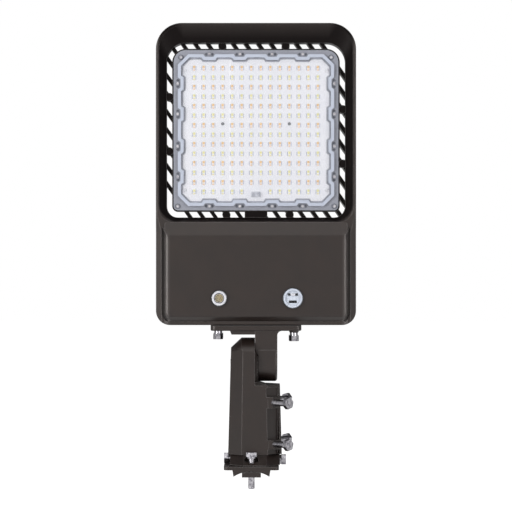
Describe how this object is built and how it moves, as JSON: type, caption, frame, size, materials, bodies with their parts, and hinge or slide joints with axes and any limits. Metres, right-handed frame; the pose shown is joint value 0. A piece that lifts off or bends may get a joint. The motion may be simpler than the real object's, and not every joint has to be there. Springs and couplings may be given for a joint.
{
  "type": "shoebox area light",
  "caption": "Flat die-cast area light head with a finned funnel window, on a serrated tilting knuckle and slip-fitter arm with a pole adapter.",
  "frame": {"origin": "crown of the saddle that seats on the pole, on the axis of the slip fitter", "axes": "+Z along the arm from the pole to the nose of the head, -Y out of the lit face, +X to the right when the lit face is seen"},
  "size_m": [0.308, 0.1284, 0.7137],
  "materials": {
    "powder_coat": "bronze black textured powder coat on die-cast aluminium",
    "stainless": "turned and rolled stainless steel",
    "lens_clear": "clear moulded polycarbonate",
    "board_white": "white solder mask on an aluminium board",
    "phosphor": "yellow phosphor in a white package",
    "seal_grey": "grey silicone seal",
    "seal_black": "black silicone seal",
    "white_nylon": "white moulded nylon",
    "black_nylon": "black moulded nylon",
    "cell_gold": "light-sensitive track under resin",
    "window_clear": "frosted clear polycarbonate",
    "driver_case": "drawn aluminium case",
    "board_green": "green glass-fibre board"
  },
  "bodies": {
    "arm": {"slip_fitter": "powder_coat", "tenon_adapter": "powder_coat", "pole_plate": "powder_coat", "side_bolts": "stainless", "side_washers": "stainless", "pole_bolts": "stainless", "pole_washers": "stainless", "backing_bar": "powder_coat", "knuckle_bolt": "stainless", "knuckle_nut": "stainless", "knuckle_washer": "stainless"},
    "head": {"housing": "powder_coat", "driver_cover": "powder_coat", "knuckle_bracket": "powder_coat", "lens_screws": "stainless", "board_screws": "stainless", "driver_screws": "stainless", "cover_screws": "stainless", "bracket_bolts": "stainless", "bracket_washers": "stainless", "lens_cover": "lens_clear", "led_board": "board_white", "led_chips": "phosphor", "lens_gasket": "seal_grey", "cover_gasket": "seal_black", "bracket_gasket": "seal_black", "wire_grommet": "seal_black", "photocell_gasket": "seal_black", "selector_gasket": "seal_black", "photocell_ring": "white_nylon", "photocell_nut": "white_nylon", "board_connector": "white_nylon", "selector_nut": "white_nylon", "surge_protector": "black_nylon", "terminal_block": "black_nylon", "power_switch": "black_nylon", "colour_switch": "black_nylon", "photocell_cell": "cell_gold", "selector_window": "window_clear", "photocell_cap": "window_clear", "driver": "driver_case", "selector_board": "board_green"},
    "power_knob": {"power_knob": "white_nylon"},
    "colour_knob": {"colour_knob": "black_nylon"},
    "set_bolt_1": {"set_bolt_1": "stainless"},
    "set_bolt_2": {"set_bolt_2": "stainless"},
    "set_bolt_3": {"set_bolt_3": "stainless"},
    "set_bolt_4": {"set_bolt_4": "stainless"}
  },
  "joints": [
    {"name": "head_tilt", "type": "hinge", "parent": "arm", "child": "head", "pos_m": [0, 0, 0.1583], "axis": [1, 0, 0], "range_deg": [-90, 90]},
    {"name": "power_slide", "type": "slide", "parent": "head", "child": "power_knob", "axis": [1, 0, 0], "range_m": [-0.0024, 0.0024]},
    {"name": "colour_slide", "type": "slide", "parent": "head", "child": "colour_knob", "axis": [1, 0, 0], "range_m": [-0.0024, 0.0024]},
    {"name": "set_bolt_1_out", "type": "slide", "parent": "arm", "child": "set_bolt_1", "axis": [0.7071, -0.7071, 0], "range_m": [0, 0.012]},
    {"name": "set_bolt_2_out", "type": "slide", "parent": "arm", "child": "set_bolt_2", "axis": [0.7071, 0.7071, 0], "range_m": [0, 0.012]},
    {"name": "set_bolt_3_out", "type": "slide", "parent": "arm", "child": "set_bolt_3", "axis": [0.7071, -0.7071, 0], "range_m": [0, 0.012]},
    {"name": "set_bolt_4_out", "type": "slide", "parent": "arm", "child": "set_bolt_4", "axis": [0.7071, 0.7071, 0], "range_m": [0, 0.012]}
  ]
}
